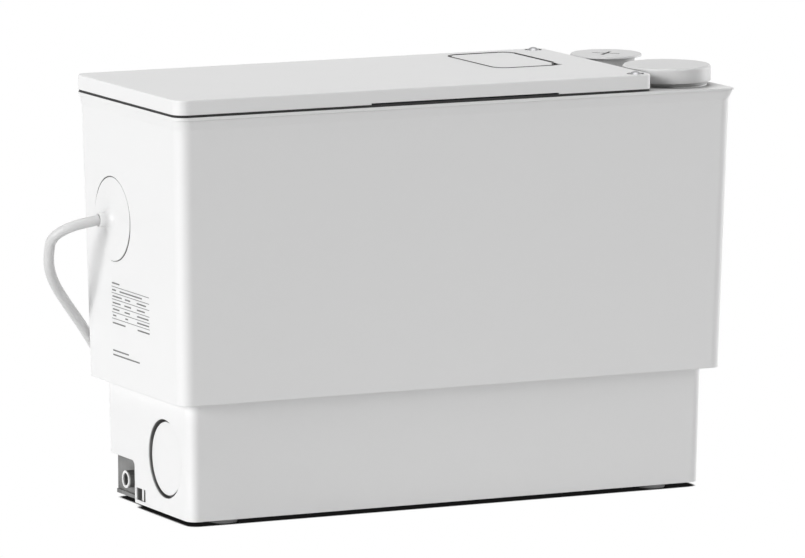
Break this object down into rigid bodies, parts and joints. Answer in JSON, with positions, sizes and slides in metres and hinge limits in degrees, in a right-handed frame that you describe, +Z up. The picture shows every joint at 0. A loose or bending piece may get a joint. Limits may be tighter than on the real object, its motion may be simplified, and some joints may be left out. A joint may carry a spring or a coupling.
{
  "type": "grey water pump",
  "caption": "White stepped tank with lid, filter hatch, capped inlet and outlet ports and mains cord, holding a submerged pump that lifts waste water.",
  "frame": {"origin": "middle of the footprint, on the floor under the feet", "axes": "+X along the length to the capped ports, +Y to the rear, +Z up"},
  "size_m": [0.4296, 0.2569, 0.2717],
  "materials": {
    "white_plastic": "satin, fine moulded",
    "cap_plastic": "satin",
    "seal_rubber": "matt",
    "cord_grey": "smooth",
    "dark_plastic": "matt",
    "steel": "zinc plated",
    "brass": "nickel plated",
    "aluminium": "die cast",
    "laminations": "varnished",
    "filter_carbon": "matt",
    "hose_rubber": "smooth"
  },
  "bodies": {
    "tank": {"tank": "white_plastic", "lid_seal": "seal_rubber", "cover_gasket": "seal_rubber", "tank_cover": "white_plastic", "cover_screws": "steel", "filter_basket": "white_plastic", "inlet_socket": "white_plastic", "outlet_socket": "white_plastic", "side_inlet_plug_left": "white_plastic", "side_inlet_seal_left": "seal_rubber", "side_inlet_plug_right": "white_plastic", "side_inlet_seal_right": "seal_rubber", "fixing_sleeve_left": "white_plastic", "fixing_sleeve_right": "white_plastic", "feet": "seal_rubber", "cable_gland": "white_plastic", "gland_nut": "dark_plastic", "power_cord": "cord_grey", "power_cord_coil": "cord_grey", "plug_cord": "cord_grey", "inner_lead": "cord_grey", "cord_tie": "dark_plastic", "plug": "dark_plastic", "plug_pins": "brass", "motor_shelf": "white_plastic", "motor_housing": "aluminium", "motor_end_cap": "aluminium", "stator": "laminations", "bearing_lower": "steel", "bearing_upper": "steel", "bearing_bracket": "dark_plastic", "shaft_seal": "seal_rubber", "volute_casing": "dark_plastic", "suction_strainer": "dark_plastic", "discharge_pipe": "hose_rubber", "valve_body": "white_plastic", "valve_pin": "steel", "level_tube": "white_plastic", "air_hose": "hose_rubber", "pressure_switch": "dark_plastic", "capacitor": "dark_plastic", "terminal_block": "dark_plastic"},
    "lid": {"lid": "white_plastic"},
    "lid_screw_front": {"lid_screw_front": "steel"},
    "lid_screw_rear": {"lid_screw_rear": "steel"},
    "hatch": {"hatch": "white_plastic", "carbon_filter": "filter_carbon"},
    "inlet_cap": {"inlet_cap": "white_plastic"},
    "outlet_cap": {"outlet_cap": "cap_plastic", "outlet_cap_seal": "seal_rubber"},
    "rotor": {"rotor": "laminations", "shaft": "steel", "impeller": "dark_plastic", "impeller_nut": "steel"},
    "valve_flap": {"valve_flap": "seal_rubber"},
    "switch_plunger": {"switch_plunger": "steel"}
  },
  "joints": [
    {"name": "lid_lift", "type": "slide", "parent": "tank", "child": "lid", "axis": [0, 0, 1], "range_m": [0, 0.12]},
    {"name": "hatch_lift", "type": "slide", "parent": "lid", "child": "hatch", "axis": [0, 0, 1], "range_m": [0, 0.06]},
    {"name": "lid_screw_front_turn", "type": "hinge", "parent": "lid", "child": "lid_screw_front", "pos_m": [0.12625, -0.07125, 0.27], "axis": [0, 0, 1], "continuous": true},
    {"name": "lid_screw_rear_turn", "type": "hinge", "parent": "lid", "child": "lid_screw_rear", "pos_m": [0.12625, 0.07125, 0.27], "axis": [0, 0, 1], "continuous": true},
    {"name": "inlet_cap_lift", "type": "slide", "parent": "tank", "child": "inlet_cap", "axis": [0, 0, 1], "range_m": [0, 0.05]},
    {"name": "outlet_cap_lift", "type": "slide", "parent": "tank", "child": "outlet_cap", "axis": [0, 0, 1], "range_m": [0, 0.06]},
    {"name": "rotor_spin", "type": "hinge", "parent": "tank", "child": "rotor", "pos_m": [-0.118, 0, 0.1], "axis": [0, 0, 1], "continuous": true},
    {"name": "valve_flap_swing", "type": "hinge", "parent": "tank", "child": "valve_flap", "pos_m": [0.1499, 0.0421, 0.1941], "axis": [0, -1, 0], "range_deg": [0, 62]},
    {"name": "switch_plunger_travel", "type": "slide", "parent": "tank", "child": "switch_plunger", "axis": [1, 0, 0], "range_m": [0, 0.0014], "stiffness_N_per_m": 200}
  ]
}
